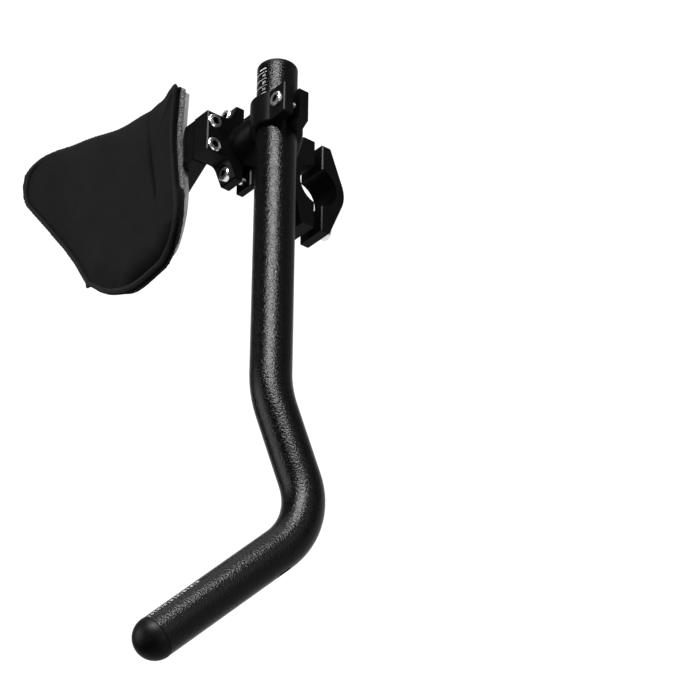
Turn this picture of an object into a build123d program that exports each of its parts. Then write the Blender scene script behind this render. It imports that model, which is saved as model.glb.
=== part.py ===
from build123d import *
import os
from math import acos, atan2, cos, hypot, pi, radians, sin, tan

# Clip-on aero handlebar extension for the side where the arm pad lies at -X.
# Millimetres. The origin is the centre of the handlebar bore: +X runs along the bar
# towards the extension, -Y is forward and +Z is up.

# Socket screws, size M5
SCREW_DIAMETER = 5.0
HEAD_DIAMETER = 8.5
HEAD_HEIGHT = 5.0
SOCKET_ACROSS_FLATS = 4.0
SOCKET_DEPTH = 2.6
HOLE_CLEARANCE = 0.2
HEAD_CLEARANCE = 0.25
SPOT_DEPTH = 0.3
SCREW_END_INSET = 1.0
HEAD_EDGE = 0.5

# Handlebar clamp
BAR_DIAMETER = 25.4
CLAMP_WIDTH = 19.5
CLAMP_GAP = 5.0
CLAMP_WALL = 5.8
CLAMP_SCREW_WEB = 6.0
CLAMP_EAR_MARGIN = 7.0
CAP_EAR_THICKNESS = 6.0
BODY_EAR_THICKNESS = 8.5

# Spindle clamp on top of the body
SPINDLE_DIAMETER = 21.9
SPINDLE_CLEARANCE = 0.05
SPINDLE_HEIGHT = 51.0
SPINDLE_SETBACK = 2.0
TOP_WIDTH = 13.0
TOP_SHIFT = 5.5
TOP_GAP = 5.0
TOP_WALL = 5.0
TOP_SCREW_WEB = 5.0
TOP_EAR_MARGIN = 5.0
TOP_EAR_THICKNESS = 5.5
TOP_EAR_SEAT = 3.8
TOP_EAR_SLOPE = 25.0
LOWER_EAR_THICKNESS = 4.5

# Block on the top cap that carries the pad bracket
BLOCK_HEIGHT = 27.0
BLOCK_SCREW_ROOM = 1.5
BLOCK_SCREW_DROP = 5.2
BLOCK_SCREW_MARGIN = 5.0
BLOCK_HEAD_SUNK = 4.7
BLOCK_FILLET = 4.0
EDGE_CHAMFER = 0.6
EAR_ROUND = 1.5

# Waist of the clamp body
WAIST_WIDTH = 26.0
WAIST_ROUND = 3.0
WAIST_OVERLAP = 1.5

# Extension holder
NECK_GAP = 0.3
NECK_LENGTH = 10.85
NECK_SHOULDER = 1.5
NECK_HEIGHT = 20.0
RING_CLEARANCE = 0.05
RING_WALL = 3.2
RING_LENGTH = 19.0
RING_SETBACK = 5.5
RING_GAP = 4.3
RING_GAP_RISE = 3.0
RING_SCREW_WEB = 1.7
RING_EAR_MARGIN = 5.75
RING_UPPER_EAR = 6.3
RING_LOWER_EAR = 6.3
RING_EAR_SEAT = 3.3
RING_LOWER_SLOPE = 18.0

# Extension tube: straight, bend down, straight, bend up, grip
TUBE_DIAMETER = 22.2
TUBE_WALL = 2.0
TUBE_TAIL = 21.8
TUBE_STRAIGHT = 189.9
DROP_RADIUS = 66.0
DROP_ANGLE = 18.7
DROP_STRAIGHT = 40.4
RISE_RADIUS = 39.2
RISE_ANGLE = 46.5
GRIP_STRAIGHT = 84.3
BEND_ROLL = -20.5
PORT_LENGTH = 9.0
PORT_WIDTH = 4.4
PORT_PLACE = 6.5

# End plugs
PLUG_STEM = 16.0
PLUG_CLEARANCE = 0.1
DOME_OVERSIZE = 0.1
DOME_EDGE = 0.5
REAR_PLUG_THICKNESS = 3.0
REAR_PLUG_ROUND = 2.0

# Arm rest: a trough with a flat floor, a low inner wing and a high outer wing
PAD_DISTANCE = 79.0
PAD_YAW = 8.0
SEAT_DROP = 13.5
FLOOR_HALF = 35.0
WING_RADIUS = 36.0
INNER_WING_ANGLE = 18.0
OUTER_WING_ANGLE = 32.0
PLATE_THICKNESS = 3.0
HOOK_THICKNESS = 1.2
LOOP_THICKNESS = 1.5
PAD_THICKNESS = 4.8
PLATE_INSET = 2.0
SHEET_INSET = 0.4
PAD_OVERHANG = 8.0

# Outline of the arm pad, seen from above, about the middle of its floor
PAD_INNER = 67.0
PAD_HORN = 11.0
PAD_HORN_REAR = 29.0
PAD_OUTER = 67.0
PAD_LOBE_TAPER = 6.0
PAD_LOBE_REAR = 83.0
PAD_LOBE_FRONT = 45.0
PAD_CHEEK_SIDE = 29.0
PAD_CHEEK_FRONT = 36.0
PAD_NOSE_SIDE = 5.0
PAD_FRONT = 67.0
PAD_SIDE_KINK = 2.0
HORN_RADIUS = 3.0
LOBE_RADIUS = 18.0
LOBE_FRONT_RADIUS = 20.0
CHEEK_RADIUS = 12.0
NOSE_RADIUS = 50.0
FRONT_RADIUS = 22.0
SIDE_RADIUS = 40.0

# Pad bracket
BRACKET_LIP = 8.0
BRACKET_FLANGE_HEIGHT = 9.6
BRACKET_KNEE = 38.0
BRACKET_THICKNESS = 8.0
BRACKET_REACH = 106.0
BRACKET_SEAT_CLEARANCE = 0.3
PLATE_SCREW_INNER = 58.0
PLATE_SCREW_END = 12.0
PLATE_SCREW_LENGTH = 9.0
COUNTERSINK_DIAMETER = 9.2
COUNTERSINK_DEPTH = 2.2
COUNTERSINK_SUNK = 0.3

# Radii and half sizes
screw_r = SCREW_DIAMETER / 2
hole_r = screw_r + HOLE_CLEARANCE
head_r = HEAD_DIAMETER / 2
spot_r = head_r + HEAD_CLEARANCE
bar_r = BAR_DIAMETER / 2
spindle_r = SPINDLE_DIAMETER / 2
spindle_bore = spindle_r + SPINDLE_CLEARANCE
tube_r = TUBE_DIAMETER / 2
ring_bore = tube_r + RING_CLEARANCE
ring_r = ring_bore + RING_WALL

# Places along X
top_near = TOP_SHIFT + TOP_WIDTH / 2
top_far = TOP_SHIFT - TOP_WIDTH / 2
neck_start = top_near + NECK_GAP
tube_x = neck_start + NECK_LENGTH + ring_r

# Places of the screws and ear tips from their bores
bar_screw_y = bar_r + CLAMP_SCREW_WEB + hole_r
bar_tip_y = bar_screw_y + CLAMP_EAR_MARGIN
top_screw_y = spindle_bore + TOP_SCREW_WEB + hole_r
top_tip_y = top_screw_y + TOP_EAR_MARGIN
ring_screw_x = ring_bore + RING_SCREW_WEB + hole_r
ring_tip_x = ring_screw_x + RING_EAR_MARGIN
block_half = top_screw_y - spot_r - BLOCK_SCREW_ROOM
block_screw_y = block_half - BLOCK_SCREW_MARGIN
block_screw_z = BLOCK_HEIGHT - BLOCK_SCREW_DROP

# Arm rest's own frame: local X across, local Y rearward, Z from the plate's underside
seat_z = SPINDLE_HEIGHT + BLOCK_HEIGHT - SEAT_DROP
pad_frame = Location((top_far - PAD_DISTANCE, 0, seat_z), (0, 0, PAD_YAW))
plate_top = PLATE_THICKNESS
hook_top = plate_top + HOOK_THICKNESS
loop_top = hook_top + LOOP_THICKNESS
pad_top = loop_top + PAD_THICKNESS
spindle_place = Location((0, SPINDLE_SETBACK, SPINDLE_HEIGHT))


# Shared shapes


def slab(profile, x_from, x_to):
    """Profile drawn in Y and Z, drawn out along X."""
    return extrude(Plane.YZ.offset(x_from) * profile, x_to - x_from)


def clamp_slab(profile, bore, x_from, x_to):
    """Slab with chamfered rims and a bore along X through its middle."""
    solid = slab(profile, x_from, x_to)
    solid = chamfer(solid.faces().filter_by(Axis.X).edges(), EDGE_CHAMFER)
    return solid - slab(Circle(bore), x_from, x_to)


def rod(radius, start, direction, length):
    """Cylinder from a start point along a direction."""
    return extrude(Plane(start, z_dir=direction) * Circle(radius), length)


def clamp_half(bore, wall, gap, tip, ear):
    """Lower half of a split clamp: two ears with slanted undersides that run on to a round belly."""
    belly = bore + wall
    tip_z = -(gap / 2 + ear)
    reach = hypot(tip, tip_z)
    touch = atan2(tip_z, tip) - acos(belly / reach)
    touch_y = belly * cos(touch)
    touch_z = belly * sin(touch)
    edge = Polyline((-touch_y, touch_z), (-tip, tip_z), (-tip, -gap / 2), (tip, -gap / 2), (tip, tip_z),
                    (touch_y, touch_z))
    arc = ThreePointArc((touch_y, touch_z), (0, -belly), (-touch_y, touch_z))
    face = make_face(edge.edges() + arc.edges())
    corners = face.vertices().filter_by(lambda v: abs(abs(v.X) - tip) < 0.01 and abs(v.Y - tip_z) < 0.01)
    return fillet(corners, EAR_ROUND)


def clamp_seat(bore, wall, gap, tip, ear, screw):
    """Depth under the split of the flat spot where a screw head sits on the slanted ear."""
    belly = bore + wall
    tip_z = gap / 2 + ear
    touch = acos(belly / hypot(tip, tip_z)) + atan2(tip_z, tip)
    slope = (belly * sin(touch) - tip_z) / (tip - belly * cos(touch))
    return tip_z + (tip - screw - spot_r) * slope - SPOT_DEPTH


def socket_screw(length):
    """Socket head screw along Z: the head stands on Z=0 and the shank goes down."""
    head = extrude(Circle(head_r), HEAD_HEIGHT)
    head = chamfer(head.edges().sort_by(Axis.Z)[-1], HEAD_EDGE)
    shank = rod(screw_r, (0, 0, 0), (0, 0, -1), length)
    socket = Pos(0, 0, HEAD_HEIGHT - SOCKET_DEPTH) * extrude(
        RegularPolygon(SOCKET_ACROSS_FLATS / 2, 6, major_radius=False), SOCKET_DEPTH)
    return head + shank - socket


def screw_cut(start, direction, depth):
    """Room for one screw: a hole along the shank and a round spot face for the head."""
    back = [-c for c in direction]
    return rod(hole_r, start, direction, depth) + rod(spot_r, start, back, HEAD_HEIGHT * 3)


def place_screw(start, direction, length):
    """Screw seated at a start point, its shank running along a direction."""
    return Plane(start, z_dir=[-c for c in direction]) * socket_screw(length)


def trough_line(height):
    """Half-way points of the trough at a height over the plate's underside, outer side first."""
    radius = WING_RADIUS - height
    wing = PAD_INNER + PAD_OUTER
    sides = []
    for sign, angle in ((-1, radians(OUTER_WING_ANGLE)), (1, radians(INNER_WING_ANGLE))):
        points = []
        for turn in (0, angle / 2, angle):
            points.append((sign * (FLOOR_HALF + radius * sin(turn)), WING_RADIUS - radius * cos(turn)))
        end_x, end_z = points[-1]
        points.append((end_x + sign * wing * cos(angle), end_z + wing * sin(angle)))
        sides.append(points)
    return sides


def trough_edges(height):
    """Edges of one trough line: wing, bend, floor, bend, wing."""
    outer, inner = trough_line(height)
    wings = Line(outer[3], outer[2]).edges() + Line(inner[2], inner[3]).edges()
    bends = ThreePointArc(*outer[2::-1]).edges() + ThreePointArc(*inner[:3]).edges()
    return wings + bends + Line(outer[0], inner[0]).edges()


def trough_layer(low, high, outline):
    """Layer of the arm rest between two heights, cut to an outline; in the arm rest's frame."""
    low_outer, low_inner = trough_line(low)
    high_outer, high_inner = trough_line(high)
    ends = Line(low_outer[3], high_outer[3]).edges() + Line(low_inner[3], high_inner[3]).edges()
    band = make_face(trough_edges(low) + trough_edges(high) + ends)
    depth = PAD_FRONT + PAD_LOBE_REAR
    sheet = extrude(Plane.XZ * band, depth, both=True)
    return sheet & extrude(outline, depth, both=True)


def wing_height(across):
    """Height of the plate's underside over its floor, on the straight part of the inner wing."""
    angle = radians(INNER_WING_ANGLE)
    bend_x = FLOOR_HALF + WING_RADIUS * sin(angle)
    bend_z = WING_RADIUS * (1 - cos(angle))
    return bend_z + (across - bend_x) * tan(angle)


def pad_outline(inset, overhang=0):
    """Outline of the arm pad seen from above, drawn in by an inset and cut short and rounder at the front."""
    front = overhang - PAD_FRONT
    corners = [
        ((PAD_INNER + PAD_HORN, PAD_HORN_REAR), HORN_RADIUS),
        ((PAD_LOBE_TAPER - PAD_OUTER, PAD_LOBE_REAR), LOBE_RADIUS),
        ((-PAD_OUTER, PAD_LOBE_FRONT), LOBE_FRONT_RADIUS),
        ((-PAD_CHEEK_SIDE, -PAD_CHEEK_FRONT), CHEEK_RADIUS),
        ((PAD_NOSE_SIDE, front), NOSE_RADIUS),
        ((PAD_INNER, front), FRONT_RADIUS + overhang),
        ((PAD_INNER, PAD_SIDE_KINK), SIDE_RADIUS),
    ]
    line = FilletPolyline(*[c for c, r in corners], radius=[r for c, r in corners], close=True)
    face = make_face(line.edges())
    return offset(face, -inset) if inset else face


# Handlebar cap, with two screws whose heads are underneath

cap_seat = clamp_seat(bar_r, CLAMP_WALL, CLAMP_GAP, bar_tip_y, CAP_EAR_THICKNESS, bar_screw_y)
cap_profile = clamp_half(bar_r, CLAMP_WALL, CLAMP_GAP, bar_tip_y, CAP_EAR_THICKNESS)
body_ear_top = CLAMP_GAP / 2 + BODY_EAR_THICKNESS
bar_screw_length = cap_seat + body_ear_top - SCREW_END_INSET
handlebar_cap = clamp_slab(cap_profile, bar_r, -CLAMP_WIDTH / 2, CLAMP_WIDTH / 2)
bar_cuts = []
bar_screws = []
for side in (-1, 1):
    start = (0, side * bar_screw_y, -cap_seat)
    bar_cuts.append(screw_cut(start, (0, 0, 1), cap_seat * 2 + body_ear_top * 2))
    bar_screws.append(place_screw(start, (0, 0, 1), bar_screw_length))
handlebar_cap -= bar_cuts

# Top cap: clamp ears, block and the holes for the bracket's screws

top_rise = tan(radians(TOP_EAR_SLOPE))
top_tip_z = TOP_GAP / 2 + TOP_EAR_THICKNESS
top_seat = TOP_GAP / 2 + TOP_EAR_SEAT
block_foot = top_tip_z + (top_tip_y - block_half) * top_rise
half_side = [
    (top_tip_y, TOP_GAP / 2), (top_tip_y, top_tip_z), (block_half, block_foot), (block_half, BLOCK_HEIGHT)]
other_side = [(-y, z) for y, z in half_side]
top_profile = make_face(Polyline(*half_side, *other_side[::-1], close=True).edges())
feet = top_profile.vertices().filter_by(lambda v: abs(v.Y - block_foot) < 0.01)
top_profile = fillet(feet, BLOCK_FILLET)
tips = top_profile.vertices().filter_by(lambda v: abs(v.Y - top_tip_z) < 0.01)
top_profile = fillet(tips, EAR_ROUND)
top_cap = clamp_slab(top_profile, spindle_bore, top_far, top_near)
lower_ear_z = -(TOP_GAP / 2 + LOWER_EAR_THICKNESS)
top_screw_length = top_seat - lower_ear_z - SCREW_END_INSET
top_cuts = []
top_screws = []
block_cuts = []
block_screws = []
block_seat = top_near - BLOCK_HEAD_SUNK
block_screw_length = block_seat - top_far + BRACKET_LIP - SCREW_END_INSET
for side in (-1, 1):
    start = (TOP_SHIFT, side * top_screw_y, top_seat)
    top_cuts.append(screw_cut(start, (0, 0, -1), (top_seat - lower_ear_z) * 2))
    top_screws.append(spindle_place * place_screw(start, (0, 0, -1), top_screw_length))
    start = (block_seat, side * block_screw_y, block_screw_z)
    block_cuts.append(screw_cut(start, (-1, 0, 0), TOP_WIDTH + BRACKET_LIP))
    block_screws.append(spindle_place * place_screw(start, (-1, 0, 0), block_screw_length))
top_cap = spindle_place * (top_cap - top_cuts - block_cuts)

# Clamp body: the two half clamps and the waist that joins them

bar_half = clamp_half(bar_r, CLAMP_WALL, CLAMP_GAP, bar_tip_y, BODY_EAR_THICKNESS)
bar_saddle = clamp_slab(mirror(bar_half, Plane.XZ), bar_r, -CLAMP_WIDTH / 2, CLAMP_WIDTH / 2)
spindle_half = clamp_half(spindle_bore, TOP_WALL, TOP_GAP, top_tip_y, LOWER_EAR_THICKNESS)
spindle_saddle = spindle_place * clamp_slab(spindle_half, spindle_bore, top_far, top_near)
waist_low = bar_r + WAIST_OVERLAP
waist_high = SPINDLE_HEIGHT - spindle_bore - WAIST_OVERLAP
waist = loft([
    Pos(0, 0, waist_low) * RectangleRounded(CLAMP_WIDTH, WAIST_WIDTH, WAIST_ROUND),
    Pos(TOP_SHIFT, SPINDLE_SETBACK, waist_high) * RectangleRounded(TOP_WIDTH, WAIST_WIDTH, WAIST_ROUND),
])
clamp_body = bar_saddle + waist + spindle_saddle
clamp_body -= bar_cuts
clamp_body -= [spindle_place * cut for cut in top_cuts]

# Extension holder: spindle, neck and split ring

ring_place = Location((tube_x, RING_SETBACK, SPINDLE_HEIGHT))
upper_tip = RING_GAP_RISE + RING_GAP / 2 + RING_UPPER_EAR
lower_tip = RING_GAP_RISE - RING_GAP / 2 - RING_LOWER_EAR
lower_rise = tan(radians(RING_LOWER_SLOPE))
ears = make_face(Polyline(
    (0, upper_tip), (ring_tip_x, upper_tip), (ring_tip_x, lower_tip),
    (0, lower_tip - ring_tip_x * lower_rise), close=True).edges())
ears = fillet(ears.vertices().sort_by(Axis.X)[-2:], EAR_ROUND)
ring_profile = Circle(ring_r) + ears
slot = Pos(ring_tip_x, RING_GAP_RISE) * Rectangle(ring_tip_x * 2, RING_GAP)
ring = extrude(Plane.XZ * ring_profile, RING_LENGTH / 2, both=True)
ring = chamfer(ring.faces().filter_by(Axis.Y).edges(), EDGE_CHAMFER)
neck = loft([
    Plane.YZ.offset(neck_start) * Pos(SPINDLE_SETBACK, 0) * Circle(spindle_r + NECK_SHOULDER),
    Plane.YZ.offset(tube_x - ring_bore) * Pos(RING_SETBACK, 0) * Ellipse(RING_LENGTH / 2, NECK_HEIGHT / 2),
])
spindle = rod(spindle_r, (top_far, SPINDLE_SETBACK, 0), (1, 0, 0), neck_start - top_far)
ring_opening = extrude(Plane.XZ * (Circle(ring_bore) + slot), RING_LENGTH * 2, both=True)
ring_seat = RING_GAP_RISE + RING_GAP / 2 + RING_EAR_SEAT
ring_screw_length = ring_seat - lower_tip - SCREW_END_INSET
ring_start = (ring_screw_x, 0, ring_seat)
holder = Pos(0, 0, SPINDLE_HEIGHT) * (spindle + neck) + ring_place * ring
holder -= ring_place * (ring_opening + screw_cut(ring_start, (0, 0, -1), ring_seat - lower_tip * 2))
holder_bolt = ring_place * place_screw(ring_start, (0, 0, -1), ring_screw_length)

# Extension tube, bent in one plane that is rolled about its rear straight

roll = radians(BEND_ROLL)
bend_up = Vector(sin(roll), 0, cos(roll))
forward = Vector(0, -1, 0)
down_run = forward * cos(radians(DROP_ANGLE)) - bend_up * sin(radians(DROP_ANGLE))
up_run = forward * cos(radians(RISE_ANGLE)) + bend_up * sin(radians(RISE_ANGLE))
drop_tangent = DROP_RADIUS * tan(radians(DROP_ANGLE / 2))
rise_tangent = RISE_RADIUS * tan(radians((DROP_ANGLE + RISE_ANGLE) / 2))
tube_rear = Vector(tube_x, RING_SETBACK + RING_LENGTH / 2 + TUBE_TAIL, SPINDLE_HEIGHT)
drop_corner = tube_rear + forward * (TUBE_STRAIGHT + drop_tangent)
rise_corner = drop_corner + down_run * (drop_tangent + DROP_STRAIGHT + rise_tangent)
tube_front = rise_corner + up_run * (rise_tangent + GRIP_STRAIGHT)
tube_path = FilletPolyline(tube_rear, drop_corner, rise_corner, tube_front, radius=[DROP_RADIUS, RISE_RADIUS])
tube_start = Plane(tube_rear, z_dir=forward)
tube_bore = tube_r - TUBE_WALL
extension_tube = sweep(tube_start * Circle(tube_r), tube_path)
extension_tube -= sweep(tube_start * Circle(tube_bore), tube_path)

# Oval cable ports on the inner and outer side of the second bend, cut right across the tube

bend_inward = bend_up * cos(radians(RISE_ANGLE)) - forward * sin(radians(RISE_ANGLE))
port_middle = rise_corner + up_run * (rise_tangent + PORT_PLACE)
port_plane = Plane(port_middle, x_dir=up_run, z_dir=bend_inward)
extension_tube -= extrude(port_plane * SlotOverall(PORT_LENGTH, PORT_WIDTH), TUBE_DIAMETER, both=True)

# End plugs, turned about the tube's ends

stem_r = tube_bore - PLUG_CLEARANCE
dome_r = tube_r + DOME_OVERSIZE
dome_tip = DOME_EDGE + dome_r
dome_edge = Polyline(
    (0, dome_tip), (0, -PLUG_STEM), (stem_r, -PLUG_STEM), (stem_r, 0), (dome_r - DOME_EDGE, 0),
    (dome_r, DOME_EDGE)).edges()
dome_arc = ThreePointArc((dome_r, DOME_EDGE), (dome_r * cos(pi / 4), DOME_EDGE + dome_r * sin(pi / 4)),
                         (0, dome_tip)).edges()
front_end_plug = Plane(tube_front, z_dir=up_run) * revolve(Plane.XZ * make_face(dome_edge + dome_arc), Axis.Z)
rear_disc = extrude(Circle(tube_r), REAR_PLUG_THICKNESS)
rear_disc = fillet(rear_disc.edges().sort_by(Axis.Z)[-1], REAR_PLUG_ROUND)
rear_stem = rod(stem_r, (0, 0, 0), (0, 0, -1), PLUG_STEM)
rear_end_plug = Plane(tube_rear, z_dir=forward * -1) * (rear_disc + rear_stem)

# Arm rest: plate, hook and loop sheets and pad, laid on each other; the pad's front hangs over them

sheet_outline = pad_outline(SHEET_INSET, PAD_OVERHANG)
plate = trough_layer(0, plate_top, pad_outline(PLATE_INSET, PAD_OVERHANG))
hook_sheet = pad_frame * trough_layer(plate_top, hook_top, sheet_outline)
loop_sheet = pad_frame * trough_layer(hook_top, loop_top, sheet_outline)
arm_pad = pad_frame * trough_layer(loop_top, pad_top, pad_outline(0))

# Pad bracket: flange on the block, a lip beside the plate and an arm under it

block_top = SPINDLE_HEIGHT + BLOCK_HEIGHT
lip_low = seat_z + wing_height(PAD_INNER) + PLATE_THICKNESS
pad_edge_x = top_far - PAD_DISTANCE + PAD_INNER
knee_x = top_far - BRACKET_KNEE
arm_low = seat_z - BRACKET_THICKNESS
side_view = make_face(Polyline(
    (top_far, block_top), (top_far - BRACKET_LIP, block_top), (pad_edge_x, lip_low),
    (top_far - BRACKET_REACH, lip_low), (top_far - BRACKET_REACH, arm_low), (knee_x, arm_low),
    (top_far, block_top - BRACKET_FLANGE_HEIGHT), close=True).edges())
bracket = extrude(Plane.XZ * side_view, block_half, both=True)
bracket = Pos(0, SPINDLE_SETBACK, 0) * chamfer(bracket.faces().filter_by(Axis.Y).edges(), EDGE_CHAMFER)
seat_room = trough_layer(0, WING_RADIUS / 2, pad_outline(SHEET_INSET - BRACKET_SEAT_CLEARANCE))
pad_bracket = bracket - pad_frame * seat_room - [spindle_place * cut for cut in block_cuts]

# Countersunk screws through the plate into the arm

plate_screws = []
for distance in (PLATE_SCREW_INNER, BRACKET_REACH - PLATE_SCREW_END):
    place = Pos(top_far - distance, SPINDLE_SETBACK, seat_z)
    top = place * Pos(0, 0, plate_top - COUNTERSINK_SUNK)
    cone = Solid.make_cone(screw_r, COUNTERSINK_DIAMETER / 2, COUNTERSINK_DEPTH)
    shank = rod(screw_r, (0, 0, 0), (0, 0, -1), PLATE_SCREW_LENGTH - COUNTERSINK_DEPTH)
    hole = rod(hole_r, (0, 0, 0), (0, 0, -1), PLATE_SCREW_LENGTH)
    socket = Pos(0, 0, COUNTERSINK_DEPTH - SOCKET_DEPTH / 2) * extrude(
        RegularPolygon(SOCKET_ACROSS_FLATS / 2, 6, major_radius=False), SOCKET_DEPTH)
    seat = top * Pos(0, 0, -COUNTERSINK_DEPTH)
    mouth_r = COUNTERSINK_DIAMETER / 2 + HOLE_CLEARANCE
    wide = Solid.make_cone(hole_r, mouth_r, COUNTERSINK_DEPTH)
    mouth = rod(mouth_r, (0, 0, COUNTERSINK_DEPTH), (0, 0, 1), COUNTERSINK_SUNK)
    plate_screws.append(seat * (Part() + cone + shank - socket))
    room = seat * (Part() + wide + hole + mouth)
    pad_bracket -= room
    plate -= pad_frame.inverse() * room
pad_plate = pad_frame * plate

# Write one file per piece

nodes = {
    "clamp_body": clamp_body,
    "handlebar_cap": handlebar_cap,
    "handlebar_bolt_front": bar_screws[0],
    "handlebar_bolt_rear": bar_screws[1],
    "top_cap": top_cap,
    "top_bolt_front": top_screws[0],
    "top_bolt_rear": top_screws[1],
    "extension_holder": holder,
    "holder_bolt": holder_bolt,
    "extension_tube": extension_tube,
    "front_end_plug": front_end_plug,
    "rear_end_plug": rear_end_plug,
    "pad_bracket": pad_bracket,
    "bracket_bolt_front": block_screws[0],
    "bracket_bolt_rear": block_screws[1],
    "pad_plate": pad_plate,
    "plate_screw_inner": plate_screws[0],
    "plate_screw_outer": plate_screws[1],
    "hook_sheet": hook_sheet,
    "loop_sheet": loop_sheet,
    "arm_pad": arm_pad,
}
os.makedirs("parts", exist_ok=True)
for name, solid in nodes.items():
    export_step(solid, f"parts/{name}.step")
    print(name, round(solid.volume), solid.bounding_box())
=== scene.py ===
import math

import bmesh
import bpy
import numpy as np
from mathutils import Matrix, Vector


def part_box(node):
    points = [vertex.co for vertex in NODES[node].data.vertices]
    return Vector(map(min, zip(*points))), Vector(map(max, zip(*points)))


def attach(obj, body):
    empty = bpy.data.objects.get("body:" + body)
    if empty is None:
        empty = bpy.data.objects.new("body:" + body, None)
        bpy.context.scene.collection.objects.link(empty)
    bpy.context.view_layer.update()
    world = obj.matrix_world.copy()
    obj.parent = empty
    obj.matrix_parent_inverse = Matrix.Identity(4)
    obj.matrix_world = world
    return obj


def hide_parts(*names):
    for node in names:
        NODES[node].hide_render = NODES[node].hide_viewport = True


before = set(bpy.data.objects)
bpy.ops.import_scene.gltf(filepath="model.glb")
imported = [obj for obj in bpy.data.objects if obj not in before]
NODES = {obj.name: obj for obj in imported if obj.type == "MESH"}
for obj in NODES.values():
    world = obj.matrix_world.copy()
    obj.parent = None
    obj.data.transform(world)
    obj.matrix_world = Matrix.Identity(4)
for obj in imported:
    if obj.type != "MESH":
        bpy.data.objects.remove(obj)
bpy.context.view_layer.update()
MM = 0.001
FORWARD = Vector((0, -1, 0))
UP = Vector((0, 0, 1))

# Camera of the photograph, in metres: where it stands and how it is turned
CAMERA_EYE = Vector((1.1454, -0.9825, 0.8875))
CAMERA_RIGHT = Vector((0.6284, 0.0061, -0.7778))
CAMERA_UP = Vector((0.4009, 0.8544, 0.3306))
CAMERA_LENS = 162.45
CAMERA_SENSOR = 36.0
CAMERA_REACH = 50.0

# Floors and their glow: the white one in the picture, and dim ones just under it, a near one in front and two
# wide ones; and the glow of the room
FLOOR_Z = -0.16
FLOOR_HALF_WIDTH = 30.0
WHITE_GLOW = 0.96
FRONT_DROP = 0.5 * MM
FRONT_GLOW = 0.9
FRONT_X = (0.12, 0.8)
FRONT_Y = (-0.9, -0.24)
WIDE_DROP = 1.0 * MM
LEFT_GLOW = 0.75
RIGHT_GLOW = 0.3
ROOM_GLOW = 0.12

# Finish of each node, by the slots of the record
FINISHES = {
    "black_anodised": ["clamp_body", "handlebar_cap", "top_cap", "pad_bracket", "extension_holder"],
    "black_tube": ["extension_tube"],
    "screw_steel": [
        "handlebar_bolt_front", "handlebar_bolt_rear", "top_bolt_front", "top_bolt_rear", "holder_bolt",
        "bracket_bolt_front", "bracket_bolt_rear", "plate_screw_inner", "plate_screw_outer"],
    "plug_rubber": ["front_end_plug", "rear_end_plug"],
    "plate_aluminium": ["pad_plate"],
    "hook_tape": ["hook_sheet"],
    "loop_tape": ["loop_sheet"],
}

# Extension tube, as far as the print on it needs it
TUBE_RADIUS = 11.1 * MM
BEND_ROLL = math.radians(-20.5)
RISE_ANGLE = math.radians(46.5)
DOME_LENGTH = 11.7 * MM

# Arm rest: frame and section of its trough, and heights of the pad's two faces over the plate's underside
PAD_MIDDLE = np.array((-80.0, 0.0)) * MM
PAD_YAW = math.radians(8.0)
SEAT_Z = 64.5 * MM
FLOOR_HALF = 35.0 * MM
WING_RADIUS = 36.0 * MM
INNER_WING_ANGLE = math.radians(18.0)
OUTER_WING_ANGLE = math.radians(32.0)
PAD_BOTTOM = 5.7 * MM
PAD_TOP = 10.5 * MM

# Mesh of the pad: size of its quads, the tilts that tell its top from its side walls, and how far the outward
# way of its outline is blurred
PAD_VOXEL = 0.7 * MM
PAD_RELAX = 4
SIDE_TILT = 0.2
TOP_TILT = 0.5
TOP_BLEND = (0.1, 0.7)
WELD = 0.001 * MM
WAY_BLUR = 2.5 * MM

# Cover of the arm pad: hem, sewn groove and crown along its edge, and the seam round its side
HEM_WIDTH = 3.0 * MM
HEM_HEIGHT = 0.9 * MM
GROOVE_DEPTH = 2.0 * MM
REAR_GROOVE_DEPTH = 0.8 * MM
# Width and strength of the painted shade along the sewn groove
GROOVE_WIDTH = 0.2 * HEM_WIDTH
GROOVE_SHADE = 0.6
CROWN_HEIGHT = 1.0 * MM
CROWN_REACH = 7.0 * MM
REAR_CROWN_REACH = 3.0 * MM
REAR_TURN = (0.3, 0.9)
SEAM_HEIGHT = 0.34
SEAM_SPREAD = 0.16
SEAM_DEPTH = 1.2 * MM
# Level over which the painted sheen on the hem is full, and the distance from the edge where the painted
# shade in the folds starts
BINDING_SHEEN_HEIGHT = 0.6
FOLD_SHADE_START = 0.8 * HEM_WIDTH

# Deeper groove along the front edge: the outward way of that edge, and where it starts and is full
DIP_WAY = np.array((0.45, -0.9))
DIP_TURN = (0.65, 0.88)
DIP_START = 10.0 * MM
DIP_FULL = -15.0 * MM
DIP_DEPTH = 1.6 * MM
# Width of the painted shade on the roll-off behind the front edge's hem
ROLL_SHADE_WIDTH = 10.0 * MM

# Rim at the foot of the pad round its inner front corner, and the undercut of the rest of its inner side
RIM_LENGTH = 4.2 * MM
RIM_HEIGHT = 0.3
RIM_TURN = (0.3, 0.7)
RIM_START = -30.0 * MM
RIM_FULL = -42.0 * MM
FRONT_RIM = 0.5
UNDERCUT = 3.0 * MM
UNDERCUT_TURN = (0.5, 0.9)

# Where the cover stands out from or draws in the pad's outline: across, back, spread and amount
SWELLS = [
    (-66 * MM, 60 * MM, 15 * MM, 1.6 * MM),
    (-68 * MM, 46.5 * MM, 5 * MM, -0.8 * MM),
    (-15 * MM, -50 * MM, 10 * MM, 1.5 * MM),
]

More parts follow.
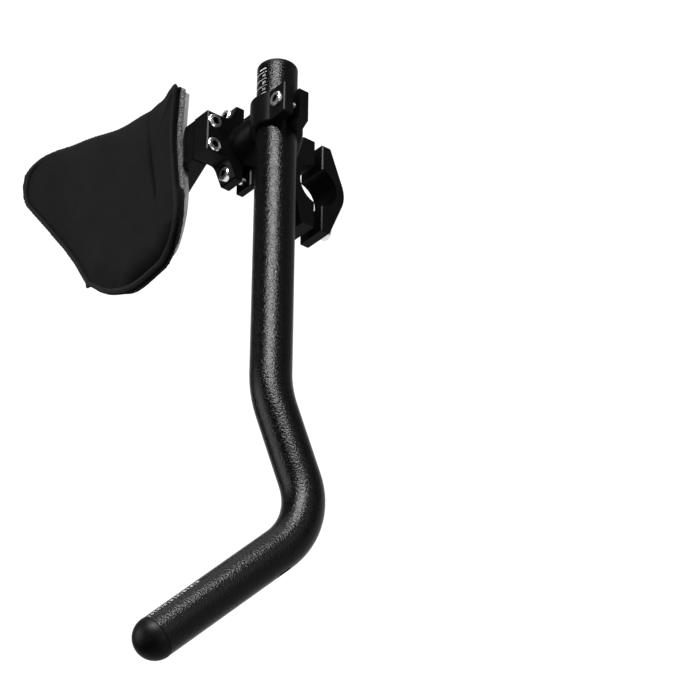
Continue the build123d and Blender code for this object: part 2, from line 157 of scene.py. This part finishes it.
# Inner fold of the cover: a sharp line in a soft valley, swung inward at both ends and weaker to the rear,
# and a bulge beside it
INNER_CREASE_PLACE = 36.5 * MM
INNER_CREASE_DEPTH = 2.0 * MM
INNER_CREASE_WIDTH = 0.9 * MM
INNER_CREASE_END = -26.0 * MM
INNER_CREASE_FADE = 8.0 * MM
INNER_CREASE_SWING = 3.0 * MM
FRONT_SWING_START = 12.0 * MM
REAR_SWING = (35.0 * MM, 58.0 * MM)
REAR_WEAKENING = (5.0 * MM, 30.0 * MM)
REAR_LOSS = 0.6
LINE_SHARE = 0.7
VALLEY_SHARE = 0.5
VALLEY_SPREAD = 4
INNER_BULGE = 0.7 * MM
BULGE_PLACE = 6.0 * MM
BULGE_WIDTH = 4.0 * MM
# Strength and spread of the painted shade along the inner fold
CREASE_SHADE = 0.8
CREASE_SHADE_SPREAD = 2

# Outer fold of the cover, in its rear half
OUTER_CREASE_PLACE = -32.0 * MM
OUTER_CREASE_DEPTH = 0.5 * MM
OUTER_CREASE_WIDTH = 1.6 * MM
OUTER_CREASE_END = 12.0 * MM
OUTER_CREASE_FADE = 15.0 * MM

# Uneven rear edge of the cover: where it sags, how wide and how far, and the corner of its seam in front
SAGS = [(7 * MM, 20 * MM, 1.0), (57 * MM, 9 * MM, 0.5)]
SAG_DROP = 1.8 * MM
SAG_DRAW = 1.6 * MM
SAG_REACH = 14.0 * MM
TAG_PLACE = np.array((-28.5, -37.0)) * MM
TAG_LENGTH = 1.7 * MM
TAG_SPREAD = 1.4 * MM
TAG_LEVELS = (0.4, 0.7)

# Printed scales at the two ends of the tube
PRINT_FILM = 0.04 * MM
PRINT_LINE = 0.3 * MM
PRINT_LINE_STEPS = 12
PRINT_HEIGHT = 1.6 * MM
PRINT_FONT_SIZE = PRINT_HEIGHT * 1.4
PRINT_CURVE_STEPS = 2
PRINT_WEIGHT = 0.07 * MM
PRINT_STEP = 10
PRINT_GAP = 1.4 * MM
REAR_LINES = 8
REAR_PITCH = 4.55 * MM
REAR_FIRST = 5.5 * MM
REAR_SPAN = (math.radians(-22), math.radians(37))
REAR_NUMERAL_INSET = 1.9 * PRINT_HEIGHT
END_BAR_PLACE = 3.3 * MM
END_BAR_WIDTH = 0.7 * MM
END_BAR_SPAN = (math.radians(-20), math.radians(5))
GRIP_LINES = 8
GRIP_PITCH = 4.35 * MM
GRIP_FIRST = 1.2 * MM
GRIP_SPAN = (math.radians(-158), math.radians(-138))
GRIP_NUMERAL_INSET = 1.6 * PRINT_HEIGHT


def smooth_step(low, high, value):
    """Soft step from 0 to 1 as value goes from low to high."""
    t = np.clip((value - low) / (high - low), 0, 1)
    return t * t * (3 - 2 * t)


def bell(distance, width):
    """Smooth bump of height 1."""
    return np.exp(-(distance / width) ** 2)


# Materials


def grey(value):
    """Grey as a colour."""
    return (value, value, value)


def new_material(name, color, roughness, **sockets):
    """Principled material with its constant values set on the shader's own sockets."""
    material = bpy.data.materials.new(name)
    material.use_nodes = True
    shader = material.node_tree.nodes["Principled BSDF"]
    shader.inputs["Base Color"].default_value = (*color, 1.0)
    shader.inputs["Roughness"].default_value = roughness
    for socket, value in sockets.items():
        shader.inputs[socket.replace("_", " ")].default_value = value
    return material


def add_noise(material, scale, detail, stretch=(1, 1, 1)):
    """Noise in the part's own coordinates, in features per metre, drawn out along an axis if asked."""
    tree = material.node_tree
    place = tree.nodes.new("ShaderNodeTexCoord")
    turn = tree.nodes.new("ShaderNodeMapping")
    turn.inputs["Scale"].default_value = stretch
    noise = tree.nodes.new("ShaderNodeTexNoise")
    noise.inputs["Scale"].default_value = scale
    noise.inputs["Detail"].default_value = detail
    tree.links.new(place.outputs["Object"], turn.inputs["Vector"])
    tree.links.new(turn.outputs["Vector"], noise.inputs["Vector"])
    return noise.outputs["Fac"]


def add_ribs(material, direction, scale, distortion, detail_scale):
    """Slightly wavy ribs across a direction of the part."""
    tree = material.node_tree
    place = tree.nodes.new("ShaderNodeTexCoord")
    wave = tree.nodes.new("ShaderNodeTexWave")
    wave.bands_direction = direction
    wave.inputs["Scale"].default_value = scale
    wave.inputs["Distortion"].default_value = distortion
    wave.inputs["Detail Scale"].default_value = detail_scale
    tree.links.new(place.outputs["Object"], wave.inputs["Vector"])
    return wave.outputs["Fac"]


def add_product(material, one, other):
    """Product of two factors."""
    tree = material.node_tree
    product = tree.nodes.new("ShaderNodeMath")
    product.operation = "MULTIPLY"
    tree.links.new(one, product.inputs[0])
    tree.links.new(other, product.inputs[1])
    return product.outputs["Value"]


def add_ramp(material, factor, stops):
    """Ramp of greys over a factor, from pairs of place and grey."""
    tree = material.node_tree
    ramp = tree.nodes.new("ShaderNodeValToRGB")
    elements = ramp.color_ramp.elements
    while len(elements) < len(stops):
        elements.new(0.5)
    for element, (place, value) in zip(elements, stops):
        element.position = place
        element.color = (*grey(value), 1.0)
    tree.links.new(factor, ramp.inputs["Fac"])
    return ramp.outputs["Color"]


def add_range(material, factor, low, high):
    """Factor of 0 to 1 spread between two values."""
    tree = material.node_tree
    spread = tree.nodes.new("ShaderNodeMapRange")
    spread.inputs["To Min"].default_value = low
    spread.inputs["To Max"].default_value = high
    tree.links.new(factor, spread.inputs["Value"])
    return spread.outputs["Result"]


def add_mix(material, color, other, attribute):
    """Colour that turns into another one where the mesh's attribute is 1."""
    tree = material.node_tree
    share = tree.nodes.new("ShaderNodeAttribute")
    share.attribute_name = attribute
    mix = tree.nodes.new("ShaderNodeMix")
    mix.data_type = "RGBA"
    mix.inputs["B"].default_value = (*other, 1.0)
    tree.links.new(share.outputs["Fac"], mix.inputs["Factor"])
    tree.links.new(color, mix.inputs["A"])
    return mix.outputs["Result"]


def add_openness(material, reach):
    """Factor that is 1 on open faces and falls towards 0 in the piece's own recesses, used for painted shade.
    """
    hollow = material.node_tree.nodes.new("ShaderNodeAmbientOcclusion")
    hollow.only_local = True
    hollow.inputs["Distance"].default_value = reach
    return hollow.outputs["AO"]


def set_socket(material, socket, output):
    """Lead an output to a socket of the material's shader."""
    shader = material.node_tree.nodes["Principled BSDF"]
    material.node_tree.links.new(output, shader.inputs[socket])


def add_bump(material, height, depth, strength):
    """Bump of a real depth in metres, on top of any bump that the shader already has."""
    tree = material.node_tree
    shader = tree.nodes["Principled BSDF"]
    bump = tree.nodes.new("ShaderNodeBump")
    bump.inputs["Distance"].default_value = depth
    bump.inputs["Strength"].default_value = strength
    tree.links.new(height, bump.inputs["Height"])
    if shader.inputs["Normal"].is_linked:
        tree.links.new(shader.inputs["Normal"].links[0].from_socket, bump.inputs["Normal"])
    tree.links.new(bump.outputs["Normal"], shader.inputs["Normal"])


def black_anodised():
    """Bead-blasted black aluminium, a little uneven in gloss."""
    material = new_material("black_anodised", grey(0.0024), roughness=0.36, Specular_IOR_Level=0.05)
    patches = add_noise(material, scale=90, detail=4)
    beads = add_noise(material, scale=3500, detail=2)
    set_socket(material, "Base Color", add_ramp(material, patches, [(0.35, 0.0016), (0.7, 0.0032)]))
    set_socket(material, "Roughness", add_range(material, patches, low=0.3, high=0.44))
    add_bump(material, beads, depth=0.02 * MM, strength=0.35)
    return material


def black_tube():
    """Satin black coating with a fine speckled grain."""
    material = new_material("black_tube", grey(0.0022), roughness=0.26, Specular_IOR_Level=0.08)
    grain = add_noise(material, scale=1100, detail=2)
    speckle = add_ramp(material, grain, [(0.3, 0.0013), (0.55, 0.0022), (0.75, 0.006)])
    set_socket(material, "Base Color", speckle)
    set_socket(material, "Roughness", add_range(material, grain, low=0.16, high=0.27))
    add_bump(material, grain, depth=0.26 * MM, strength=1.0)
    return material


def screw_steel():
    """Bright plated steel with painted shade in its recesses, with fine turned lines and small stains."""
    material = new_material("screw_steel", (0.7, 0.7, 0.71), roughness=0.25, Metallic=1.0)
    stains = add_noise(material, scale=500, detail=4)
    lines = add_noise(material, scale=2500, detail=2)
    openness = add_openness(material, reach=2.5 * MM)
    # Painted shade: the colour turns near-black where ambient occlusion finds the screw's own recesses, such
    # as its socket
    set_socket(material, "Base Color", add_ramp(material, openness, [(0.5, 0.03), (0.8, 0.9)]))
    set_socket(material, "Roughness", add_range(material, stains, low=0.16, high=0.26))
    add_bump(material, lines, depth=0.005 * MM, strength=0.3)
    return material


def plug_rubber():
    """Smooth moulded rubber."""
    material = new_material("plug_rubber", grey(0.003), roughness=0.42, Specular_IOR_Level=0.06)
    cloud = add_noise(material, scale=250, detail=3)
    skin = add_noise(material, scale=2500, detail=2)
    set_socket(material, "Base Color", add_ramp(material, cloud, [(0.3, 0.002), (0.7, 0.004)]))
    set_socket(material, "Roughness", add_range(material, cloud, low=0.36, high=0.5))
    add_bump(material, skin, depth=0.01 * MM, strength=0.3)
    return material


def plate_aluminium():
    """Plain sheet aluminium, finely brushed from front to rear."""
    material = new_material("plate_aluminium", grey(0.35), roughness=0.44, Metallic=1.0)
    brushed = add_noise(material, scale=2200, detail=3, stretch=(1, 0.04, 1))
    set_socket(material, "Base Color", add_ramp(material, brushed, [(0.3, 0.28), (0.7, 0.42)]))
    set_socket(material, "Roughness", add_range(material, brushed, low=0.36, high=0.52))
    add_bump(material, brushed, depth=0.01 * MM, strength=0.3)
    return material


def tape(name, dark, pale):
    """Grey hook-and-loop tape: matted fibres with pale and dark tufts."""
    material = new_material(name, grey(pale), roughness=0.95, Specular_IOR_Level=0.1, Sheen_Weight=0.05)
    tufts = add_noise(material, scale=1300, detail=3)
    fibres = add_noise(material, scale=4000, detail=2)
    set_socket(material, "Base Color", add_ramp(material, tufts, [(0.38, dark), (0.62, pale)]))
    add_bump(material, tufts, depth=0.5 * MM, strength=0.9)
    add_bump(material, fibres, depth=0.2 * MM, strength=0.6)
    return material


def hook_tape():
    """Darker tape on the plate."""
    return tape("hook_tape", dark=0.03, pale=0.26)


def loop_tape():
    """Paler tape under the pad."""
    return tape("loop_tape", dark=0.05, pale=0.42)


def pad_fabric():
    """Matte charcoal knit with fine crossed ribs, paler where sheen on the hem binding is painted and
    near-black where shade in the folds is painted.
    """
    material = new_material("pad_fabric", grey(0.007), roughness=0.8, Specular_IOR_Level=0.02)
    ribs = [add_ribs(material, way, scale=330, distortion=0.6, detail_scale=4.0) for way in ("X", "Y")]
    cloud = add_noise(material, scale=45, detail=4)
    fuzz = add_noise(material, scale=2600, detail=3)
    plain = add_ramp(material, cloud, [(0.3, 0.006), (0.7, 0.0078)])
    # Painted sheen: paler colour where the mesh attribute marks the hem binding and the foot of the front
    # edge's wall
    with_sheen = add_mix(material, plain, grey(0.0145), "binding_sheen")
    # Painted shade: near-black colour where the mesh attribute marks the folds, the sewn groove and the
    # roll-off behind the front edge
    set_socket(material, "Base Color", add_mix(material, with_sheen, grey(0.0006), "fold_shade"))
    add_bump(material, add_product(material, *ribs), depth=0.12 * MM, strength=0.5)
    add_bump(material, fuzz, depth=0.08 * MM, strength=0.5)
    return material


def white_print():
    """Thin white print, a little worn."""
    material = new_material("white_print", grey(0.6), roughness=0.55, Specular_IOR_Level=0.05)
    wear = add_noise(material, scale=1500, detail=3)
    set_socket(material, "Base Color", add_ramp(material, wear, [(0.3, 0.16), (0.5, 0.6)]))
    return material


def dress_nodes():
    """Give each rigid node its finish, and keep the bright screws out of the black parts' reflections."""
    makers = {
        "black_anodised": black_anodised,
        "black_tube": black_tube,
        "screw_steel": screw_steel,
        "plug_rubber": plug_rubber,
        "plate_aluminium": plate_aluminium,
        "hook_tape": hook_tape,
        "loop_tape": loop_tape,
    }
    for slot, names in FINISHES.items():
        material = makers[slot]()
        for name in names:
            mesh = NODES[name].data
            mesh.materials.clear()
            mesh.materials.append(material)
            NODES[name].visible_glossy = slot != "screw_steel"


# Arm pad


def pad_outline(mesh):
    """Plan view of the pad's outline: pairs of points where its top meets its side walls."""
    work = bmesh.new()
    work.from_mesh(mesh)
    bmesh.ops.remove_doubles(work, verts=work.verts, dist=WELD)
    pairs = []
    for edge in work.edges:
        tilts = sorted(face.normal.z for face in edge.link_faces)
        if len(tilts) == 2 and abs(tilts[0]) < SIDE_TILT and tilts[1] > TOP_TILT:
            pairs.append([vert.co[:2] for vert in edge.verts])
    work.free()
    return np.array(pairs)


def nearest_edge(points, pairs):
    """Distance in plan from each point to the outline, and the outward way of the outline near it."""
    middle = pairs.mean(axis=(0, 1))
    best = np.full(len(points), np.inf)
    way = np.zeros_like(points)
    for start, end in pairs:
        run = end - start
        outward = np.array((run[1], -run[0]))
        if outward @ ((start + end) / 2 - middle) < 0:
            outward = -outward
        share = np.clip((points - start) @ run / (run @ run), 0, 1)
        length = np.linalg.norm(start + share[:, None] * run - points, axis=1)
        best = np.minimum(best, length)
        way += outward * np.exp(-length / WAY_BLUR)[:, None]
    tiny = 1e-12
    return best, way / np.maximum(np.linalg.norm(way, axis=1), tiny)[:, None]


def even_copy(source, name):
    """Copy of a node, made of even small quads."""
    piece = bpy.data.objects.new(name, source.data.copy())
    bpy.context.scene.collection.objects.link(piece)
    remesh = piece.modifiers.new("even_quads", "REMESH")
    remesh.mode = "VOXEL"
    remesh.voxel_size = PAD_VOXEL
    relax = piece.modifiers.new("relax", "SMOOTH")
    relax.iterations = PAD_RELAX
    made = piece.evaluated_get(bpy.context.evaluated_depsgraph_get())
    piece.data = bpy.data.meshes.new_from_object(made)
    piece.modifiers.clear()
    return piece


def read_vectors(mesh, name):
    """Places or normals of a mesh's vertices, one row each."""
    values = np.empty(len(mesh.vertices) * 3)
    mesh.vertices.foreach_get(name, values)
    return values.reshape(-1, 3)


def arm_rest_places(points):
    """Places across and back in the arm rest's own frame."""
    local = points[:, :2] - PAD_MIDDLE
    across = local @ (math.cos(PAD_YAW), math.sin(PAD_YAW))
    back = local @ (-math.sin(PAD_YAW), math.cos(PAD_YAW))
    return across, back


def trough_height(across, height):
    """Height of the trough's surface that lies at a height over the floor of the plate's underside."""
    radius = WING_RADIUS - height
    out = np.maximum(np.abs(across) - FLOOR_HALF, 0)
    angle = np.where(across > 0, INNER_WING_ANGLE, OUTER_WING_ANGLE)
    bend = radius * np.sin(angle)
    turned = np.minimum(out, bend)
    return SEAT_Z + WING_RADIUS - np.sqrt(radius ** 2 - turned ** 2) + (out - turned) * np.tan(angle)


class PadPlaces:
    """Places of the plain pad's vertices: in the arm rest, from the edge, and from bottom (0) to top (1)."""

    def __init__(self, points, normals, outline):
        self.across, self.back = arm_rest_places(points)
        bottom = trough_height(self.across, PAD_BOTTOM)
        thickness = trough_height(self.across, PAD_TOP) - bottom
        self.level = np.clip((points[:, 2] - bottom) / thickness, 0, 1)
        self.edge, self.outward = nearest_edge(points[:, :2], outline)
        # Shares from 0 to 1: of the top face, side wall, foot, rear edge, dip at the front edge and rim
        self.top = smooth_step(*TOP_BLEND, normals[:, 2])
        self.wall = 1 - smooth_step(0, HEM_WIDTH, self.edge)
        self.foot = 1 - smooth_step(0, RIM_HEIGHT, self.level)
        self.rearward = smooth_step(*REAR_TURN, self.outward[:, 1])
        turned = smooth_step(*DIP_TURN, self.outward @ DIP_WAY)
        self.dip = turned * smooth_step(DIP_START, DIP_FULL, self.back)
        inward = smooth_step(*RIM_TURN, self.outward[:, 0]) * smooth_step(RIM_START, RIM_FULL, self.back)
        self.rim = np.maximum(FRONT_RIM * self.dip, inward)


def hem_and_crown(at):
    """Rolled hem, sewn groove and crowned top along the edge, steeper at the rear and deeper in the dip."""
    groove = GROOVE_DEPTH + (REAR_GROOVE_DEPTH - GROOVE_DEPTH) * at.rearward + DIP_DEPTH * at.dip
    reach = CROWN_REACH + (REAR_CROWN_REACH - CROWN_REACH) * at.rearward
    roll = np.clip((at.edge - HEM_WIDTH / 2) / (HEM_WIDTH / 2), -1, 1)
    hem = HEM_HEIGHT * (np.sqrt(1 - roll * roll) - 1)
    past = np.maximum(at.edge - HEM_WIDTH, 0)
    crown = CROWN_HEIGHT - (CROWN_HEIGHT + groove) * np.exp(-past / reach)
    return np.where(at.edge < HEM_WIDTH, hem, crown)


def inner_fold(at):
    """Distance from the line of the inner crease, and the crease's strength along it."""
    ends = smooth_step(FRONT_SWING_START, INNER_CREASE_END, at.back) + smooth_step(*REAR_SWING, at.back)
    aside = at.across - INNER_CREASE_PLACE - INNER_CREASE_SWING * ends
    strength = smooth_step(INNER_CREASE_END, INNER_CREASE_END + INNER_CREASE_FADE, at.back)
    return aside, strength * (1 - REAR_LOSS * smooth_step(*REAR_WEAKENING, at.back))


def creases(at):
    """Folds where the trough bends and a soft bulge beside the inner one."""
    aside, strength = inner_fold(at)
    line = LINE_SHARE * bell(aside, INNER_CREASE_WIDTH)
    valley = VALLEY_SHARE * bell(aside, VALLEY_SPREAD * INNER_CREASE_WIDTH)
    inner = -INNER_CREASE_DEPTH * (line + valley)
    bulge = INNER_BULGE * bell(aside - BULGE_PLACE, BULGE_WIDTH)
    aside = at.across - OUTER_CREASE_PLACE
    shown = smooth_step(OUTER_CREASE_END, OUTER_CREASE_END + OUTER_CREASE_FADE, at.back)
    line = bell(aside, OUTER_CREASE_WIDTH)
    valley = bell(aside, VALLEY_SPREAD * OUTER_CREASE_WIDTH)
    outer = -OUTER_CREASE_DEPTH * (line + valley)
    return inner * strength + bulge + outer * shown


def top_rise(at):
    """How far the top rises: hem and crown along the edge, and folds away from it."""
    away = smooth_step(0, 2 * HEM_WIDTH, at.edge)
    return (hem_and_crown(at) + creases(at) * away) * at.top


def edge_push(at):
    """How far the edge moves outward: seam corner, side seam, rim, undercut and swells of the outline."""
    tag = np.hypot(at.across - TAG_PLACE[0], at.back - TAG_PLACE[1])
    push = TAG_LENGTH * bell(tag, TAG_SPREAD) * smooth_step(*TAG_LEVELS, at.level)
    push -= SEAM_DEPTH * bell(at.level - SEAM_HEIGHT, SEAM_SPREAD)
    push += RIM_LENGTH * at.rim * at.foot
    push -= UNDERCUT * smooth_step(*UNDERCUT_TURN, at.outward[:, 0]) * (1 - at.rim) * (1 - at.level)
    swell = sum(size * bell(np.hypot(at.across - u, at.back - v), spread) for u, v, spread, size in SWELLS)
    return push * at.wall + swell * (1 - smooth_step(0, SAG_REACH, at.edge))


def rear_sag(at):
    """Share of the sag of the rear edge, from 0 to 1."""
    share = sum(size * bell(at.across - place, width) for place, width, size in SAGS)
    return share * at.rearward * (1 - smooth_step(0, SAG_REACH, at.edge))


def shape_cover(points, normals, at):
    """Move the plain pad's vertices to the form of its sewn cover."""
    points += normals * top_rise(at)[:, None]
    points[:, :2] += at.outward * edge_push(at)[:, None]
    across, _ = arm_rest_places(points)
    points[:, 2] += trough_height(across, PAD_TOP) - trough_height(at.across, PAD_TOP)
    sag = rear_sag(at)
    points[:, 1] -= SAG_DRAW * sag
    points[:, 2] -= SAG_DROP * sag * at.level


def cover_shades(at):
    """Shares of painted sheen on the hem binding and of painted shade in the folds, from 0 to 1, by the names
    that the fabric reads.
    """
    # Painted sheen: paler on the hem above the seam and at the foot of the wall along the front edge
    hem = np.where(at.edge < HEM_WIDTH, smooth_step(SEAM_HEIGHT, BINDING_SHEEN_HEIGHT, at.level), 0)
    binding_sheen = np.maximum(hem, at.dip * at.wall * at.foot)
    # Painted shade: darker along the inner fold, the sewn groove and the roll-off behind the front edge, on
    # the top only
    aside, strength = inner_fold(at)
    crease = CREASE_SHADE * strength * bell(aside, CREASE_SHADE_SPREAD * INNER_CREASE_WIDTH)
    roll = at.dip * bell(at.edge - HEM_WIDTH, ROLL_SHADE_WIDTH)
    groove = GROOVE_SHADE * (1 - at.rearward) * bell(at.edge - HEM_WIDTH, GROOVE_WIDTH)
    fold_shade = np.maximum(np.maximum(roll, crease), groove) * at.top
    return {"binding_sheen": binding_sheen, "fold_shade": fold_shade * (at.edge > FOLD_SHADE_START)}


def make_pad():
    """Fabric-covered pad in place of the plain one."""
    source = NODES["arm_pad"]
    piece = even_copy(source, "arm_pad_cushion")
    mesh = piece.data
    points = read_vectors(mesh, "co")
    normals = read_vectors(mesh, "normal")
    at = PadPlaces(points, normals, pad_outline(source.data))
    shape_cover(points, normals, at)
    for name, values in cover_shades(at).items():
        mesh.attributes.new(name, "FLOAT", "POINT").data.foreach_set("value", values)
    mesh.vertices.foreach_set("co", points.ravel())
    mesh.update()
    mesh.polygons.foreach_set("use_smooth", [True] * len(mesh.polygons))
    mesh.materials.clear()
    mesh.materials.append(pad_fabric())
    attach(piece, "clamp")
    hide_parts("arm_pad")


# Printed scales


def wrap_on_tube(flat, origin, axis, zero):
    """Lay flat vertices on the tube: x runs round it from the zero direction, y along its axis, z outward."""
    side = axis.cross(zero)
    placed = []
    for x, y, z in flat:
        angle = x / TUBE_RADIUS
        radius = TUBE_RADIUS + z
        placed.append(origin + axis * y + (zero * math.cos(angle) + side * math.sin(angle)) * radius)
    return placed


def line_mesh(work, start, end, along, width):
    """Printed line round the tube, from one place round it to another."""
    rows = []
    for i in range(PRINT_LINE_STEPS + 1):
        x = start + (end - start) * i / PRINT_LINE_STEPS
        rows.append([work.verts.new((x, along + side * width / 2, 0)) for side in (-1, 1)])
    for one, other in zip(rows, rows[1:]):
        work.faces.new((one[0], other[0], other[1], one[1]))


def numeral_mesh(work, number, place, along, upward):
    """Plain numeral, its foot at a place round the tube and along it, upright (1) or upside down (-1)."""
    curve = bpy.data.curves.new("numeral", "FONT")
    curve.body = str(number)
    curve.size = PRINT_FONT_SIZE
    curve.resolution_u = PRINT_CURVE_STEPS
    curve.offset = PRINT_WEIGHT
    maker = bpy.data.objects.new("numeral", curve)
    bpy.context.scene.collection.objects.link(maker)
    made = maker.evaluated_get(bpy.context.evaluated_depsgraph_get())
    mesh = bpy.data.meshes.new_from_object(made)
    mesh.transform(Matrix.Translation((place, along, 0)) @ Matrix.Diagonal((upward, upward, 1, 1)))
    work.from_mesh(mesh)
    bpy.data.objects.remove(maker)
    bpy.data.curves.remove(curve)
    bpy.data.meshes.remove(mesh)


def print_piece(name, work, origin, axis, zero, material):
    """Thin film of print on the tube, from flat faces."""
    bmesh.ops.triangulate(work, faces=[face for face in work.faces if len(face.verts) > 4])
    work.verts.index_update()
    low = [vert.co.copy() for vert in work.verts]
    high = [co + UP * PRINT_FILM for co in low]
    count = len(low)
    flat = [[vert.index for vert in face.verts] for face in work.faces]
    bottom = [corners[:1] + corners[:0:-1] for corners in flat]
    top = [[corner + count for corner in corners] for corners in flat]
    borders = [loop for face in work.faces for loop in face.loops if loop.edge.is_boundary]
    sides = []
    for loop in borders:
        start = loop.vert.index
        end = loop.link_loop_next.vert.index
        sides.append([start, end, end + count, start + count])
    smooth = [face.smooth for face in work.faces] * 2 + [loop.face.smooth for loop in borders]
    work.free()
    mesh = bpy.data.meshes.new(name)
    mesh.from_pydata(wrap_on_tube(low + high, origin, axis, zero), [], bottom + top + sides)
    mesh.polygons.foreach_set("use_smooth", smooth)
    mesh.materials.append(material)
    piece = bpy.data.objects.new(name, mesh)
    bpy.context.scene.collection.objects.link(piece)
    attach(piece, "extension")


def make_rear_scale(material):
    """Scale from the rear end of the tube forward, with a short thick bar before its first line."""
    plug_low, plug_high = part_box("rear_end_plug")
    middle = (plug_low + plug_high) / 2
    rear_end = Vector((middle.x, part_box("extension_tube")[1].y, middle.z))
    work = bmesh.new()
    start, end = [angle * TUBE_RADIUS for angle in REAR_SPAN]
    for i in range(REAR_LINES):
        along = REAR_FIRST + i * REAR_PITCH
        foot = along + PRINT_GAP + PRINT_HEIGHT
        line_mesh(work, start, end, along, PRINT_LINE)
        numeral_mesh(work, PRINT_STEP * (i + 1), start + REAR_NUMERAL_INSET, foot, upward=-1)
    bar_start, bar_end = [angle * TUBE_RADIUS for angle in END_BAR_SPAN]
    line_mesh(work, bar_start, bar_end, END_BAR_PLACE, END_BAR_WIDTH)
    print_piece("rear_scale_print", work, rear_end, FORWARD, UP, material)


def make_grip_scale(material):
    """Scale from the front end of the tube back along the grip."""
    bend_up = Vector((math.sin(BEND_ROLL), 0, math.cos(BEND_ROLL)))
    grip = FORWARD * math.cos(RISE_ANGLE) + bend_up * math.sin(RISE_ANGLE)
    tip = max((vert.co for vert in NODES["front_end_plug"].data.vertices), key=lambda co: co.dot(grip))
    front_end = tip - grip * DOME_LENGTH
    side = FORWARD.cross(bend_up)
    work = bmesh.new()
    start, end = [angle * TUBE_RADIUS for angle in GRIP_SPAN]
    for i in range(GRIP_LINES):
        along = GRIP_FIRST + i * GRIP_PITCH
        line_mesh(work, start, end, along, PRINT_LINE)
        numeral_mesh(work, PRINT_STEP * (i + 1), end - GRIP_NUMERAL_INSET, along + PRINT_GAP, upward=1)
    print_piece("grip_scale_print", work, front_end, -grip, grip.cross(side), material)


def make_scales():
    """Scale lines and numerals at the rear end of the tube and on its grip."""
    material = white_print()
    make_rear_scale(material)
    make_grip_scale(material)


# Camera, floor and light


def add_camera():
    """Camera with the photograph's place, turn and lens."""
    data = bpy.data.cameras.new("photo_camera")
    data.lens = CAMERA_LENS
    data.sensor_width = CAMERA_SENSOR
    data.clip_end = CAMERA_REACH
    camera = bpy.data.objects.new("photo_camera", data)
    back = CAMERA_RIGHT.cross(CAMERA_UP).normalized()
    up = back.cross(CAMERA_RIGHT).normalized()
    right = up.cross(back).normalized()
    turn = Matrix((right, up, back)).transposed().to_4x4()
    camera.matrix_world = Matrix.Translation(CAMERA_EYE) @ turn
    bpy.context.scene.collection.objects.link(camera)
    bpy.context.scene.camera = camera


def add_floor(name, corners, z, glow):
    """Large plain floor with a glow of its own, like a lit studio sweep."""
    mesh = bpy.data.meshes.new(name)
    mesh.from_pydata([(x, y, z) for x, y in corners], [], [(0, 1, 2, 3)])
    floor = bpy.data.objects.new(name, mesh)
    bpy.context.scene.collection.objects.link(floor)
    mesh.materials.append(new_material(
        name, grey(0.05), roughness=0.9, Emission_Color=(1, 1, 1, 1), Emission_Strength=glow))
    return floor


def add_floors():
    """White floor in the picture, and under it the dim floors that only reflections show."""
    half = FLOOR_HALF_WIDTH
    square = [(-half, -half), (half, -half), (half, half), (-half, half)]
    white = add_floor("white_floor", square, FLOOR_Z, WHITE_GLOW)
    white.visible_glossy = False
    left, right = FRONT_X
    front, rear = FRONT_Y
    near = [(left, front), (right, front), (right, rear), (left, rear)]
    dims = [add_floor("dim_floor_front", near, FLOOR_Z - FRONT_DROP, FRONT_GLOW)]
    edge = [(-half, half), (half, -half)]
    for name, side, glow in (("dim_floor_left", -half, LEFT_GLOW), ("dim_floor_right", half, RIGHT_GLOW)):
        far = [(x + 2 * side, y + 2 * side) for x, y in reversed(edge)]
        dims.append(add_floor(name, edge + far, FLOOR_Z - WIDE_DROP, glow))
    for dim in dims:
        dim.visible_camera = False
        dim.visible_diffuse = False
        dim.visible_transmission = False
        dim.visible_shadow = False


def add_light(name, place, target, across, size, power):
    """Flat area light that looks at a target, with its width along a direction."""
    data = bpy.data.lights.new(name, "AREA")
    data.shape = "RECTANGLE"
    data.size, data.size_y = size
    data.energy = power
    light = bpy.data.objects.new(name, data)
    back = (Vector(place) - Vector(target)).normalized()
    up = back.cross(Vector(across)).normalized()
    right = up.cross(back)
    light.matrix_world = Matrix.Translation(place) @ Matrix((right, up, back)).transposed().to_4x4()
    bpy.context.scene.collection.objects.link(light)
    return light


def add_lights():
    """Softboxes on the right, overhead and on the left, and two cards that only reflections show."""
    gleam = add_light(
        "gleam", place=(1.0, 0.76, 1.02), target=(0, 0, 0), across=(-0.71, 0, 0.7),
        size=(1.0, 0.42), power=122)
    key = add_light(
        "key", place=(0.92, 0.92, 0.94), target=(0, 0, 0), across=(-0.71, 0, 0.7),
        size=(1.0, 0.55), power=18)
    add_light(
        "overhead", place=(-0.65, -0.1, 1.3), target=(0, -0.1, 0), across=(1, 0, 0.5),
        size=(1.0, 1.0), power=20)
    fill = add_light(
        "fill", place=(-1.0, 0.8, 0.95), target=(-0.08, 0, 0.07), across=(1, 0, 0.5),
        size=(0.8, 0.8), power=14)
    card = add_light(
        "card", place=(0.8, -0.3, 0.07), target=(0, -0.3, 0.07), across=(0, 1, 0),
        size=(1.0, 0.42), power=4)
    glow = add_light(
        "glow", place=(0.3, 1.7, 0.6), target=(0, -0.25, 0.1), across=(1, 0, 0),
        size=(2.0, 0.8), power=16)
    for light in (gleam, card, glow):
        light.visible_diffuse = False
    for light in (key, fill):
        light.visible_glossy = False
    for light in (card, glow):
        light.visible_camera = False


def add_world():
    """Even pale surroundings."""
    world = bpy.data.worlds.new("pale_room")
    world.use_nodes = True
    back = world.node_tree.nodes["Background"]
    back.inputs["Color"].default_value = (1, 1, 1, 1)
    back.inputs["Strength"].default_value = ROOM_GLOW
    bpy.context.scene.world = world
    bpy.context.scene.view_settings.view_transform = "Standard"


dress_nodes()
make_pad()
make_scales()
add_camera()
add_floors()
add_world()
add_lights()
